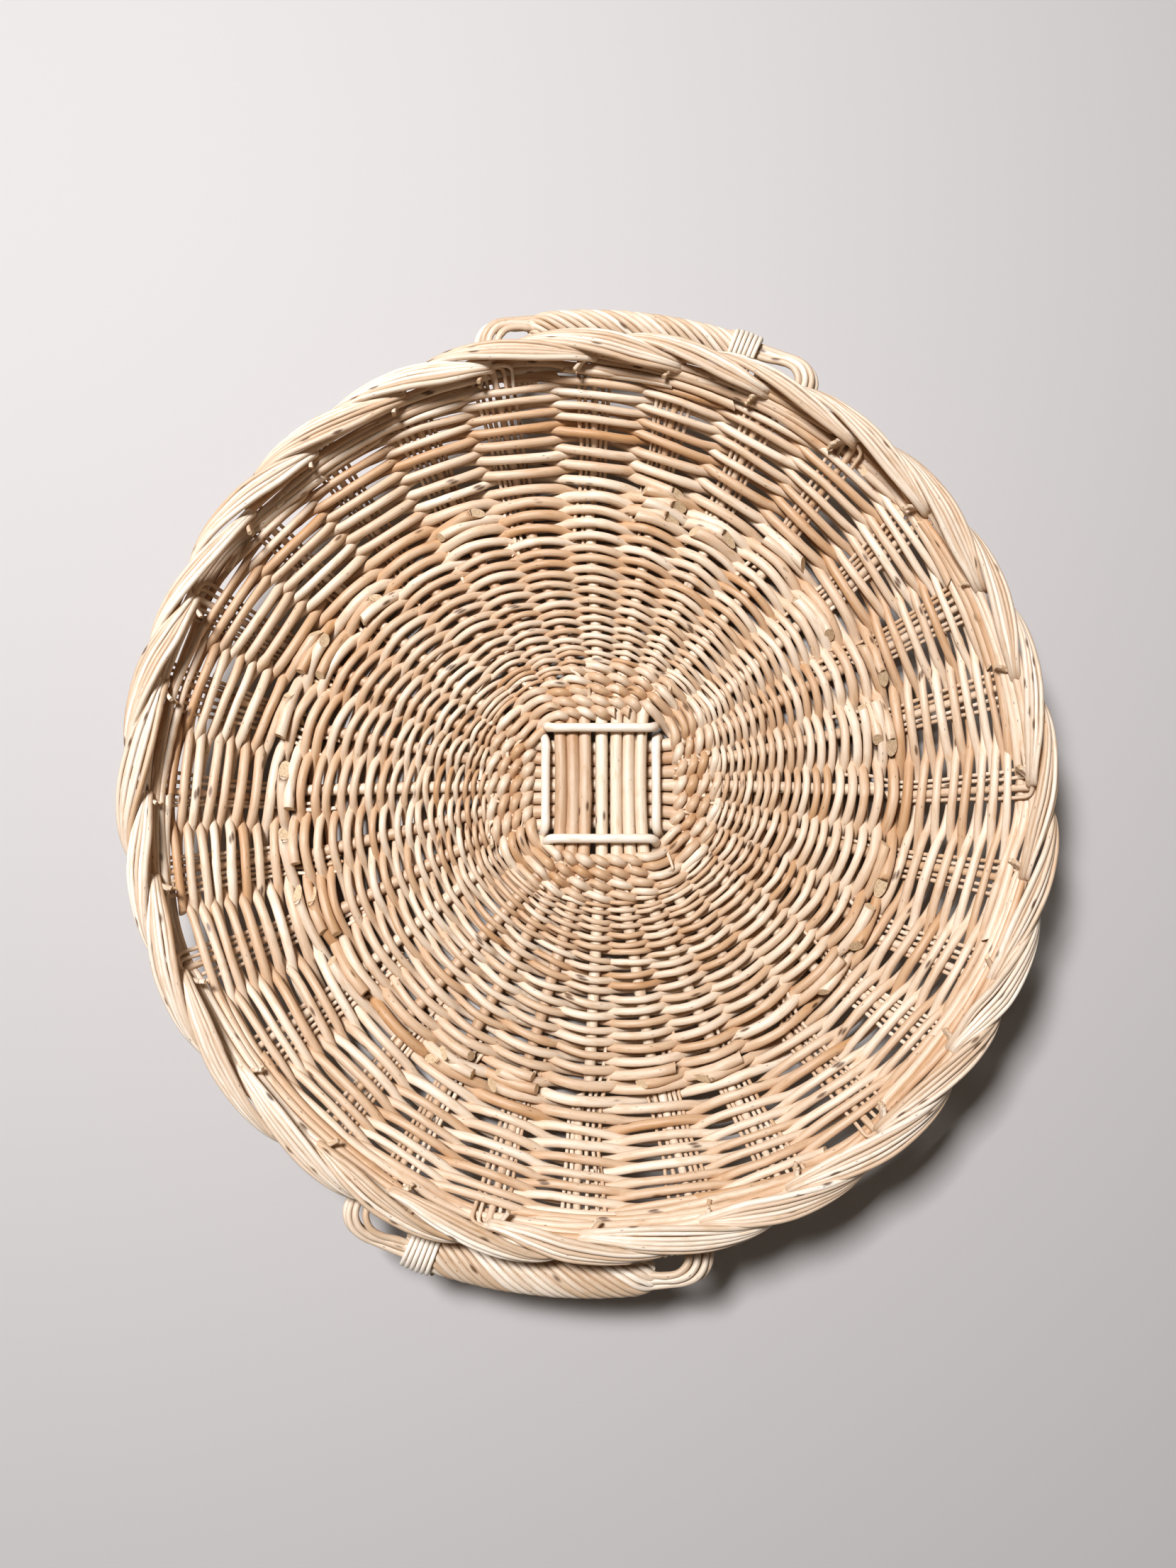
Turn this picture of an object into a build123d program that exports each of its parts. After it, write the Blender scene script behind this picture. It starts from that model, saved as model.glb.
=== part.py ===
"""A round, shallow, two-handled willow bread basket.

Origin: middle of the footprint on the surface the basket stands on.
+Z is up, +Y runs towards one handle, +X across. Millimetres.
"""
import os
from math import atan2, cos, degrees, radians, sin, tan

from build123d import *

# Overall sizes
border_outer_radius = 286.0
handle_reach = 310.0
basket_height = 92.0

# Base
stick_diameter = 8.4
stick_pitch = 9.2
stick_bend = 60.0
stick_level_share = 0.28
sticks_each_way = 7
slath_centre = (8.0, 4.0)
slath_half_side = 33.5
straight_past_slath = 12.0
binder_diameter = 6.4
binder_overhang = 5.0
base_radius = 204.0
base_mid_height = 11.0
base_thickness = 2 * base_mid_height
centre_band_thickness = 18.0
pairing_radius = 78.0
pairing_corner = 6.0
stick_end_inset = 8.0

# Wall
wall_top_radius = 268.0
wall_top_height = 69.5
wall_bend_radius = 209.0
wall_bend_curve = 22.0
wall_thickness_low = 17.0
wall_thickness_high = 12.0
outside_bend_curve = 18.0
inside_bend_curve = 4.0
wale_width = 8.0

# Side stakes
spoke_count = 28
stout_stake_diameter = 4.4
thin_stake_diameter = 2.5
thin_stake_offsets = (-9.0, -6.3, 6.3, 9.0)
thin_stake_start = 188.0
stake_reach_above_wall = 13.0

# Border
border_width = 19.0
border_depth = 11.0
bundle_end_width = 7.0
bundle_end_depth = 6.0
bundle_end_shift = 4.0
tip_diameter = 3.0
tip_length = 11.0
tip_rise = 7.0
tips_per_cluster = 6

# Handles
handle_azimuth = 83.0
handle_height = 56.0
rope_diameter = 22.0
core_diameter = 13.0
rope_half_angle = 14.5
lashing_turns = 6
lashing_rod_diameter = 2.8
ear_rod_diameter = 4.0
ear_bend_radius = 24.0
ear_bend_angle = 62.0
wrap_rod_diameter = 3.2
wraps_per_ear = 5
wrap_low = -26.0
wrap_high = -5.0
ear_tail = 32.0

gap = 0.3
spoke_angle = 360 / spoke_count
layer_rise = stick_diameter / 2 + 0.05


# Places shared by several pieces

def polar(radius, angle, height=None):
    """The point at this radius and angle, on the flat or at a height."""
    flat = (radius * cos(radians(angle)), radius * sin(radians(angle)))
    return flat if height is None else (*flat, height)


def turned(angle):
    """The ground plane turned about the basket's axis."""
    return Plane.XY.rotated((0, 0, angle))


wall_slope = atan2(wall_top_height - base_mid_height, wall_top_radius - wall_bend_radius)
slope_out = (sin(wall_slope), -cos(wall_slope))
slope_up = (cos(wall_slope), sin(wall_slope))
bend_share = tan(wall_slope / 2)


def up_the_wall(distance, outward=0.0):
    """Radius and height of a point along the wall's middle line from its top."""
    return (
        wall_top_radius + distance * slope_up[0] + outward * slope_out[0],
        wall_top_height + distance * slope_up[1] + outward * slope_out[1],
    )


def rod(points, diameter, bends, plane=Plane.XY):
    """A round rod along straight runs joined by arcs."""
    with BuildPart() as made:
        with BuildLine(plane) as route:
            if bends is None:
                Polyline(*points)
            else:
                FilletPolyline(*points, radius=bends)
        with BuildSketch(Plane(origin=route.line @ 0, z_dir=route.line % 0)):
            Circle(diameter / 2)
        sweep()
    return made.part


# Base sticks

def stick_route(offset, end_angles, along, height):
    """Spoke end, weave edge, slath edge, and the same on the far side."""
    middle_x, middle_y = slath_centre
    edge = slath_half_side + straight_past_slath
    points = []
    for side, angle in zip((-1, 1), end_angles):
        if along:
            slath_edge = (middle_x + offset, middle_y + side * edge, height)
        else:
            slath_edge = (middle_x + side * edge, middle_y + offset, height)
        end = polar(base_radius - stick_end_inset, angle, base_mid_height)
        weave_edge = (
            slath_edge[0] + stick_level_share * (end[0] - slath_edge[0]),
            slath_edge[1] + stick_level_share * (end[1] - slath_edge[1]),
            base_mid_height,
        )
        half = [end, weave_edge, slath_edge]
        points += half if side < 0 else half[::-1]
    return points


def stick(number, along, diameter):
    """One base stick, numbered from left to right or from front to back."""
    place = number - (sticks_each_way - 1) / 2
    if along:
        end_angles = (270 + place * spoke_angle, 90 - place * spoke_angle)
        height = base_mid_height + layer_rise
    else:
        end_angles = (180 - place * spoke_angle, place * spoke_angle)
        height = base_mid_height - layer_rise
    return rod(stick_route(place * stick_pitch, end_angles, along, height), diameter, stick_bend)


sticks = {}
stick_room = []
for direction in ("along", "across"):
    for number in range(sticks_each_way):
        runs_along = direction == "along"
        sticks[f"stick_{direction}_{number + 1}"] = stick(number, runs_along, stick_diameter)
        stick_room.append(stick(number, runs_along, stick_diameter + 2 * gap))

# Side stakes: every group lies in the thickness of the weave and climbs the wall

def wall_line(start_radius, sideways):
    """The middle line of the weave from the base up to the border."""
    top = up_the_wall(stake_reach_above_wall)
    return [
        (start_radius, sideways, base_mid_height),
        (wall_bend_radius, sideways, base_mid_height),
        (top[0], sideways, top[1]),
    ]


stout_stake = rod(wall_line(base_radius - 6, 0), stout_stake_diameter, wall_bend_curve)
thin_stakes = [
    rod(wall_line(thin_stake_start, offset), thin_stake_diameter, wall_bend_curve)
    for offset in thin_stake_offsets
]

with BuildPart() as stake_room:
    with BuildLine(Plane.XZ) as room_route:
        room_points = [(x, z) for x, _, z in wall_line(thin_stake_start - 2, 0)]
        FilletPolyline(*room_points, radius=wall_bend_curve)
    with BuildSketch(Plane.YZ.offset(thin_stake_start - 2)):
        with Locations((0, base_mid_height)):
            Rectangle(
                2 * max(thin_stake_offsets) + thin_stake_diameter + 2 * gap,
                stout_stake_diameter + 2 * gap,
            )
    sweep()

quarters = {"east": 0, "north": 7, "west": 14, "south": 21}
stakes = {}
for side, middle_spoke in quarters.items():
    with BuildPart() as stakes[f"side_stakes_{side}"]:
        for spoke in range(middle_spoke - 3, middle_spoke + 4):
            with Locations(Location((0, 0, 0), (0, 0, spoke * spoke_angle))):
                add(stout_stake)
                for thin_stake in thin_stakes:
                    add(thin_stake)

# Weave bands: each is the closed outer shape of its weavers, open where the sticks and stakes run

with BuildPart() as base_weave:
    with BuildSketch(Plane.XY) as base_ring:
        Circle(base_radius)
        with Locations(slath_centre):
            Circle(pairing_radius + gap, mode=Mode.SUBTRACT)
    extrude(amount=base_thickness)
    for room in stick_room:
        add(room, mode=Mode.SUBTRACT)
    with PolarLocations(0, spoke_count):
        add(stake_room.part, mode=Mode.SUBTRACT)

with BuildPart() as centre_pairing:
    with BuildSketch(Plane.XY.offset(base_mid_height - centre_band_thickness / 2)):
        with Locations(slath_centre):
            Circle(pairing_radius)
            square_side = 2 * (slath_half_side + binder_diameter + 4)
            RectangleRounded(square_side, square_side, pairing_corner, mode=Mode.SUBTRACT)
    extrude(amount=centre_band_thickness)
    for room in stick_room:
        add(room, mode=Mode.SUBTRACT)


def wall_profile(low, high, thickness_low, thickness_high):
    """Half section of the wall between two distances measured from its top."""
    inside_low, outside_low = up_the_wall(low, -thickness_low / 2), up_the_wall(low, thickness_low / 2)
    inside_high, outside_high = up_the_wall(high, -thickness_high / 2), up_the_wall(high, thickness_high / 2)
    Polyline(inside_low, outside_low, outside_high, inside_high, close=True)


with BuildPart() as wall_body:
    with BuildSketch(Plane.XZ):
        with BuildLine():
            half = wall_thickness_low / 2
            foot = base_radius + gap
            outside = FilletPolyline(
                (foot, base_mid_height - half),
                (wall_bend_radius + half * bend_share, base_mid_height - half),
                up_the_wall(0, wall_thickness_high / 2),
                radius=outside_bend_curve,
            )
            inside = FilletPolyline(
                (foot, base_mid_height + half),
                (wall_bend_radius + 1 - half * bend_share, base_mid_height + half),
                up_the_wall(0, -wall_thickness_high / 2),
                radius=inside_bend_curve,
            )
            Line(outside @ 0, inside @ 0)
            Line(outside @ 1, inside @ 1)
        make_face()
    revolve(axis=Axis.Z)

with BuildPart() as wall_weave:
    add(wall_body.part)
    with PolarLocations(0, spoke_count):
        add(stake_room.part, mode=Mode.SUBTRACT)

with BuildPart() as top_wale:
    half = wall_thickness_high / 2 + 1
    with BuildSketch(Plane.XZ):
        with BuildLine():
            Polyline(
                up_the_wall(gap, -half),
                up_the_wall(gap, half),
                up_the_wall(wale_width, half),
                up_the_wall(wale_width, -half),
                close=True,
            )
        make_face()
    revolve(axis=Axis.Z)
    with PolarLocations(0, spoke_count):
        add(stake_room.part, mode=Mode.SUBTRACT)

# Binders: one rod along each side of the square, its ends bent down into the weave

binder_reach = slath_half_side + binder_diameter / 2 + gap
binder_drop = 10.0


def binder(side_angle, top, half_length):
    """A rod across one side of the square, with both ends turned down."""
    over = Plane(origin=(*slath_centre, 0), z_dir=(0, 0, 1)).rotated((0, 0, side_angle))
    points = [
        (binder_reach, -half_length, top - binder_drop),
        (binder_reach, -half_length, top),
        (binder_reach, half_length, top),
        (binder_reach, half_length, top - binder_drop),
    ]
    return rod(points, binder_diameter, binder_diameter, over)


over_along = base_mid_height + layer_rise + stick_diameter / 2 + binder_diameter / 2 + gap
over_across = base_mid_height - layer_rise + stick_diameter / 2 + binder_diameter / 2 + 2 * gap
binders = {
    "slath_binder_north": binder(90, over_along, slath_half_side + binder_overhang),
    "slath_binder_south": binder(270, over_along, slath_half_side + binder_overhang),
    "slath_binder_east": rod(
        [
            (slath_centre[0] + binder_reach, slath_centre[1] - slath_half_side + gap, over_across),
            (slath_centre[0] + binder_reach, slath_centre[1] + slath_half_side - gap, over_across),
        ],
        binder_diameter,
        None,
    ),
    "slath_binder_west": rod(
        [
            (slath_centre[0] - binder_reach, slath_centre[1] - slath_half_side + gap, over_across),
            (slath_centre[0] - binder_reach, slath_centre[1] + slath_half_side - gap, over_across),
        ],
        binder_diameter,
        None,
    ),
}

# Border: lens-shaped bundles end to end round the rim, each with its cut tips inside

border_middle = border_outer_radius - border_width / 2
bundle_half_angle = spoke_angle / 2 - 0.1
bundle_top = basket_height - border_depth / 2


def bundle_section(radius, angle, height, width, depth):
    """An ellipse across the rim at this angle."""
    across = Plane(
        origin=polar(radius, angle, height),
        x_dir=polar(1, angle, 0),
        z_dir=polar(1, angle + 90, 0),
    )
    with BuildSketch(across) as section:
        Ellipse(width / 2, depth / 2)
    return section.sketch


with BuildPart() as one_bundle:
    end_size = (bundle_top - 1, bundle_end_width, bundle_end_depth)
    inner_end = bundle_section(border_middle - bundle_end_shift, -bundle_half_angle, *end_size)
    middle = bundle_section(border_middle, 0, bundle_top, border_width, border_depth)
    outer_end = bundle_section(border_middle + bundle_end_shift, bundle_half_angle, *end_size)
    loft(sections=[inner_end, middle, outer_end])

with BuildPart() as one_cluster:
    tip_root = wall_top_radius - 5
    tips_in_row = tips_per_cluster // 2
    for row in range(2):
        for place in range(tips_in_row):
            sideways = (place - (tips_in_row - 1) / 2) * (tip_diameter + gap)
            height = wall_top_height + tip_rise + row * (tip_diameter + gap)
            with Locations((tip_root, sideways, height)):
                Cylinder(
                    tip_diameter / 2,
                    tip_length,
                    rotation=(0, 90, 0),
                    align=(Align.CENTER, Align.CENTER, Align.MAX),
                )

borders = {}
for side, middle_spoke in quarters.items():
    spoke_places = [
        Location((0, 0, 0), (0, 0, spoke * spoke_angle))
        for spoke in range(middle_spoke - 3, middle_spoke + 4)
    ]
    with BuildPart() as borders[f"border_{side}"]:
        with Locations(*spoke_places):
            add(one_bundle.part)
    with BuildPart() as borders[f"border_tips_{side}"]:
        with Locations(*spoke_places):
            add(one_cluster.part)

# Handles: built about +X, then turned to their places

rope_radius = handle_reach - rope_diameter / 2


def rope_place(angle):
    """The plane across the bow at this angle from its middle."""
    return Plane(
        origin=polar(rope_radius, angle, handle_height),
        x_dir=(0, 0, 1),
        z_dir=polar(1, angle + 90, 0),
    )


with BuildPart() as bow_core:
    with BuildLine(Plane.XY.offset(handle_height)):
        CenterArc((0, 0), rope_radius, -rope_half_angle, 2 * rope_half_angle)
    with BuildSketch(rope_place(-rope_half_angle)):
        Circle(core_diameter / 2)
    sweep()

with BuildPart() as bow_roping:
    with BuildLine(Plane.XY.offset(handle_height)):
        CenterArc((0, 0), rope_radius, -rope_half_angle, 2 * rope_half_angle)
    with BuildSketch(rope_place(-rope_half_angle)):
        Circle(rope_diameter / 2)
        Circle(core_diameter / 2 + gap, mode=Mode.SUBTRACT)
    sweep()

with BuildPart() as bow_lashing:
    ring_radius = (rope_diameter + lashing_rod_diameter) / 2 + gap
    turn_angle = degrees((lashing_rod_diameter + gap) / rope_radius)
    for turn in range(lashing_turns):
        with Locations(rope_place(-rope_half_angle + (turn + 1) * turn_angle)):
            Torus(ring_radius, lashing_rod_diameter / 2)


def ear_rod(side, outward, upward):
    """One rod from the end of the bow, bent round into the wall."""
    with BuildPart() as made:
        with BuildLine(Plane.XY.offset(handle_height + upward)) as route:
            start = polar(rope_radius + outward, side * (rope_half_angle + 0.15))
            direction = polar(1, side * (rope_half_angle + 90))
            bend = JernArc(start, direction, ear_bend_radius + outward, side * ear_bend_angle)
            Line(bend @ 1, (bend @ 1) + (bend % 1) * ear_tail)
        with BuildSketch(Plane(origin=route.line @ 0, z_dir=route.line % 0)):
            Circle(ear_rod_diameter / 2)
        sweep()
        add(wall_body.part, mode=Mode.SUBTRACT)
    return made.part.solids().sort_by(Axis.X)[-1]


def ear_wraps(side):
    """Short rods side by side up the outside of the wall, inside the bend of the ear."""
    wraps = []
    outward = wall_thickness_low / 2 + wrap_rod_diameter / 2
    for place in range(wraps_per_ear):
        spread = degrees((wrap_rod_diameter + gap) / wall_top_radius)
        across = turned(side * (rope_half_angle + 1.2 + place * spread))
        low, high = up_the_wall(wrap_low, outward), up_the_wall(wrap_high, outward)
        ends = [(low[0], 0, low[1]), (high[0], 0, high[1])]
        wraps.append(rod(ends, wrap_rod_diameter, None, across))
    return wraps


ear_layers = [(4.2, 2.2), (4.2, -2.2), (-0.2, 2.2), (-0.2, -2.2)]
ears = {
    name: [ear_rod(side, outward, upward) for outward, upward in ear_layers]
    for name, side in (("right", -1), ("left", 1))
}
wraps = {name: ear_wraps(side) for name, side in (("right", -1), ("left", 1))}

handles = {}
for end, azimuth in (("north", handle_azimuth), ("south", handle_azimuth + 180)):
    in_place = Location((0, 0, 0), (0, 0, azimuth))
    for name, shape in (
        ("core", bow_core.part), ("roping", bow_roping.part), ("lashing", bow_lashing.part)
    ):
        with BuildPart() as handles[f"handle_{end}_{name}"]:
            with Locations(in_place):
                add(shape)
    for side in ("left", "right"):
        with BuildPart() as handles[f"handle_{end}_ear_{side}"]:
            with Locations(in_place):
                for piece in ears[side]:
                    add(piece)
        with BuildPart() as handles[f"handle_{end}_wraps_{side}"]:
            with Locations(in_place):
                for piece in wraps[side]:
                    add(piece)

# Written one file to a sub-part

os.makedirs("parts", exist_ok=True)
bands = {
    "base_weave": base_weave,
    "centre_pairing": centre_pairing,
    "wall_weave": wall_weave,
    "top_wale": top_wale,
}
for name, block in {**bands, **stakes, **borders, **handles}.items():
    block.part.label = name
    export_step(block.part, f"parts/{name}.step")
for name, single_rod in {**sticks, **binders}.items():
    single_rod.label = name
    export_step(single_rod, f"parts/{name}.step")
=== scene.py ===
"""Looks of the round willow bread basket: every rod is its own tube, woven over the frame from the CAD."""
import math
import bpy
import numpy as np
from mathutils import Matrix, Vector


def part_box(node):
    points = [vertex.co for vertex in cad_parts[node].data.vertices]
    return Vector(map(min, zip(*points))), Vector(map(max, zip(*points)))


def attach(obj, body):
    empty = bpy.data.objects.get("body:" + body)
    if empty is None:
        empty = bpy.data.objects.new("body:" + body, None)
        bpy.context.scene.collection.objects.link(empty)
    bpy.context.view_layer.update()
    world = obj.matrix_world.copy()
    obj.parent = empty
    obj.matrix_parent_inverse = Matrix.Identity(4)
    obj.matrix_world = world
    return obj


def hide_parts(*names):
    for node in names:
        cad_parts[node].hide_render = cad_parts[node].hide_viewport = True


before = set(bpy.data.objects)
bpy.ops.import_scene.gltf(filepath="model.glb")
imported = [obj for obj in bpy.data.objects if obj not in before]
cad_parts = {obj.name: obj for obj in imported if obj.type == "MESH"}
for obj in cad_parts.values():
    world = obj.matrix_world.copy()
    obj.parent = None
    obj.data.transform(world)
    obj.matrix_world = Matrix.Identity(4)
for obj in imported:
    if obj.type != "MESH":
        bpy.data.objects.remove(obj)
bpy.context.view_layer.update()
MM = 0.001
rng = np.random.default_rng(28)

# Driving sizes and counts, in millimetres until a mesh is made

SPOKES = 28
QUARTER = SPOKES // 4
STICKS = 7
STICK_RADIUS = 4.25
STICK_END_RADIUS = 3.8
STICK_SHIFTS = (-0.8, -1.5, -2.2, 0.6, 1.2, 1.0, 0.8)
STICK_PITCH = 9.2
SLATH_EDGE = 45.5
BINDER_RADIUS = 3.1
PAIRING_ROUNDS = 4
PAIRING_RUN, PAIRING_PITCH = 47.2, 7.9
FRAYED_TIPS = 58
FIRST_ROW_RUN, ROW_PITCH, ROW_GROWTH = 80, 4.8, 0.141
JOIN_ROW, JOIN_RUN = 17, 202.0
WALL_ROWS, WALL_PITCH, WALL_SHRINK = 8.6, 13.0, 0.31
KINK = 0.16
POINTS_PER_SPOKE = 11
FLOOR_GAP = 0.6
base_low, base_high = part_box("base_weave")
pair_low, pair_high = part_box("centre_pairing")
BASE_MID = (base_low[2] + base_high[2]) / 2 / MM
BASE_RADIUS = base_high[0] / MM
SLATH = np.array([(pair_low[0] + pair_high[0]) / 2, (pair_low[1] + pair_high[1]) / 2]) / MM
WALL_TOP = np.array([268.0, 69.5])
RIM_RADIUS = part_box("border_east")[1][0] / MM
RIM_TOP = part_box("border_east")[1][2] / MM


# Mesh making: a piece is a list of rods, each a tube with its own ends and tone

def smooth_noise(count, spacing, amount):
    """A random wobble along a rod, with one new value every few points."""
    knots = max(4, int(count / spacing) + 2)
    values = rng.normal(0, amount, knots)
    return np.interp(np.linspace(0, knots - 1, count), np.arange(knots), values)


def spline(points, count):
    """A smooth line through these points, sampled evenly along its parameter."""
    points = np.asarray(points, float)
    padded = np.vstack([2 * points[0] - points[1], points, 2 * points[-1] - points[-2]])
    t = np.linspace(0, len(points) - 1 - 1e-9, count)
    i = t.astype(int)
    f = (t - i)[:, None]
    a, b, c, d = padded[i], padded[i + 1], padded[i + 2], padded[i + 3]
    return 0.5 * (2 * b + (c - a) * f + (2 * a - 5 * b + 4 * c - d) * f**2 + (3 * b - a - 3 * c + d) * f**3)


def side_directions(tangent):
    """Two directions across a rod at each of its points, carried along it without a twist."""
    side = np.cross(tangent[0], [0.0, 0.0, 1.0])
    if np.linalg.norm(side) < 1e-3:
        side = np.array([1.0, 0.0, 0.0])
    sides = []
    for t in tangent:
        side = side - t * np.dot(side, t)
        side /= np.linalg.norm(side)
        sides.append(side)
    u = np.array(sides)
    return u, np.cross(tangent, u)


def rod(line, radius, sides=10, tone=None, cuts=(0.0, 0.0), cut_side=0.0):
    """Vertices, faces and marks of one rod; cuts lean its two end faces."""
    line = np.asarray(line, float)
    count = len(line)
    radius = np.broadcast_to(np.asarray(radius, float), (count,)).copy()
    steps = np.linalg.norm(np.diff(line, axis=0), axis=1)
    run = np.concatenate([[0], np.cumsum(steps)])
    tangent = np.gradient(line, axis=0)
    tangent /= np.linalg.norm(tangent, axis=1)[:, None] + 1e-12
    u, v = side_directions(tangent)
    turn = np.linspace(0, 2 * np.pi, sides, endpoint=False)
    cos, sin = np.cos(turn), np.sin(turn)
    ring = cos[None, :, None] * u[:, None, :] + sin[None, :, None] * v[:, None, :]
    verts = line[:, None, :] + ring * radius[:, None, None]
    lean = np.cos(turn - cut_side)
    for end, cut in ((0, cuts[0]), (-1, cuts[1])):
        if cut:
            verts[end] += tangent[end] * (radius[end] * cut * lean)[:, None]
    grain_shift = rng.uniform(0, 900)
    grain = np.empty((count, sides, 3))
    grain[..., 0] = run[:, None] + grain_shift
    grain[..., 1] = radius[:, None] * cos[None, :]
    grain[..., 2] = radius[:, None] * sin[None, :]
    body = verts.reshape(-1, 3)
    body_grain = grain.reshape(-1, 3)
    index = np.arange(count * sides).reshape(count, sides)
    across = np.roll(index, -1, axis=1)
    quads = np.stack([index[:-1], across[:-1], across[1:], index[1:]], axis=-1).reshape(-1, 4)
    caps, cap_verts, cap_grain = [], [], []
    for end in (0, -1):
        start = count * sides + len(cap_verts) * (sides + 1)
        cap_verts.append(np.vstack([verts[end], verts[end].mean(axis=0)]))
        cap_grain.append(np.vstack([grain[end], grain[end].mean(axis=0)]))
        for corner in range(sides):
            pair = (start + corner, start + (corner + 1) % sides)
            caps.append((*(pair[::-1] if end == 0 else pair), start + sides))
    tone = rng.uniform(0, 1) if tone is None else tone
    all_verts = np.vstack([body] + cap_verts)
    all_grain = np.vstack([body_grain] + cap_grain)
    cut_mark = np.concatenate([np.zeros(len(body)), np.ones(2 * (sides + 1))])
    return all_verts, quads, np.array(caps), all_grain, np.full(len(all_verts), tone), cut_mark


def piece(name, rods, material, slot, *nodes):
    """One object of one or more rods, riding on the root and standing for CAD nodes."""
    verts, faces, grain, tone, cut, smooth = [], [], [], [], [], []
    start = 0
    for rod_verts, quads, caps, rod_grain, rod_tone, rod_cut in rods:
        verts.append(rod_verts)
        faces += (quads + start).tolist() + (caps + start).tolist()
        smooth += [True] * len(quads) + [False] * len(caps)
        grain.append(rod_grain)
        tone.append(rod_tone)
        cut.append(rod_cut)
        start += len(rod_verts)
    mesh = bpy.data.meshes.new(name)
    mesh.from_pydata((np.vstack(verts) * MM).tolist(), [], faces)
    mesh.polygons.foreach_set("use_smooth", smooth)
    mesh.attributes.new("grain", "FLOAT_VECTOR", "POINT").data.foreach_set("vector", np.vstack(grain).ravel())
    mesh.attributes.new("tone", "FLOAT", "POINT").data.foreach_set("value", np.concatenate(tone))
    mesh.attributes.new("cut", "FLOAT", "POINT").data.foreach_set("value", np.concatenate(cut))
    mesh.materials.append(material)
    mesh.update()
    made = bpy.data.objects.new(name, mesh)
    bpy.context.scene.collection.objects.link(made)
    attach(made, "root")
    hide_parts(*nodes)


def knotty(radius, step_mm, wobble=0.03, knot_every=70.0):
    """A rod's radius along its length, with slow wobble and small swollen knots."""
    radius = np.asarray(radius, float)
    count = len(radius)
    radius = radius * (1 + smooth_noise(count, 9, wobble))
    length = count * step_mm
    places = np.arange(count) * step_mm
    for _ in range(rng.poisson(length / knot_every)):
        at = rng.uniform(0, length)
        radius = radius * (1 + rng.uniform(0.05, 0.14) * np.exp(-((places - at) / 2.2) ** 2))
    return radius


# Materials

ROUGHNESS_LOW, ROUGHNESS_HIGH = 0.34, 0.58
SPECK_BROWN = (0.11, 0.052, 0.02)
WHITE, BLACK = (1, 1, 1), (0, 0, 0)


class SkinNodes:
    """Shorthand for making the shader nodes of one willow skin."""

    def __init__(self, material):
        self.tree = material.node_tree

    def node(self, kind, **settings):
        """A new node; each setting is the value of an input or of a property."""
        made = self.tree.nodes.new(kind)
        for key, value in settings.items():
            if key in made.inputs:
                made.inputs[key].default_value = value
            else:
                setattr(made, key, value)
        return made

    def feed(self, socket, value):
        """Give an input another node's output, a number or a colour."""
        if hasattr(value, "is_output"):
            self.tree.links.new(value, socket)
        else:
            socket.default_value = value if isinstance(value, float) else (*value, 1)

    def stored(self, name, output="Fac"):
        """A value that the rods' points carry."""
        return self.node("ShaderNodeAttribute", attribute_name=name).outputs[output]

    def stretched(self, along, across):
        """The grain's coordinates, scaled one way along a rod and another across it."""
        mapping = self.node("ShaderNodeMapping")
        mapping.inputs["Scale"].default_value = (along, across, across)
        self.feed(mapping.inputs["Vector"], self.stored("grain", "Vector"))
        return mapping.outputs["Vector"]

    def noise(self, vector, scale, detail, rough=0.55):
        """Cloudy values between nought and one."""
        made = self.node("ShaderNodeTexNoise", Scale=scale, Detail=detail, Roughness=rough)
        self.feed(made.inputs["Vector"], vector)
        return made.outputs["Fac"]

    def ramp(self, source, *stops):
        """Colours that follow a value, through stops of a place and a colour."""
        made = self.node("ShaderNodeValToRGB")
        while len(made.color_ramp.elements) < len(stops):
            made.color_ramp.elements.new(0.5)
        for element, (place, colour) in zip(made.color_ramp.elements, stops):
            element.position = place
            element.color = (*colour, 1)
        self.feed(made.inputs["Fac"], source)
        return made.outputs["Color"]

    def mixed(self, kind, amount, first, second):
        """Two colours blended by an amount."""
        made = self.node("ShaderNodeMix", data_type="RGBA", blend_type=kind)
        for socket_name, value in (("Factor", amount), ("A", first), ("B", second)):
            self.feed(made.inputs[socket_name], value)
        return next(output for output in made.outputs if output.type == "RGBA" and output.enabled)

    def maths(self, kind, *values):
        """One sum, product or comparison."""
        made = self.node("ShaderNodeMath", operation=kind)
        for socket, value in zip(made.inputs, values):
            self.feed(socket, value)
        return made.outputs["Value"]

    def spots(self, along, across, channel, share, full, gone):
        """Round spots in a share of a pattern's cells, full near the middle and gone further out."""
        cells = self.node("ShaderNodeTexVoronoi", Scale=1.0, Randomness=1.0)
        self.feed(cells.inputs["Vector"], self.stretched(along, across))
        picked = self.node("ShaderNodeSeparateColor")
        self.feed(picked.inputs["Color"], cells.outputs["Color"])
        rare = self.maths("LESS_THAN", picked.outputs[channel], share)
        spot = self.ramp(cells.outputs["Distance"], (full, WHITE), (gone, BLACK))
        return self.maths("MULTIPLY", spot, rare)


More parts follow.
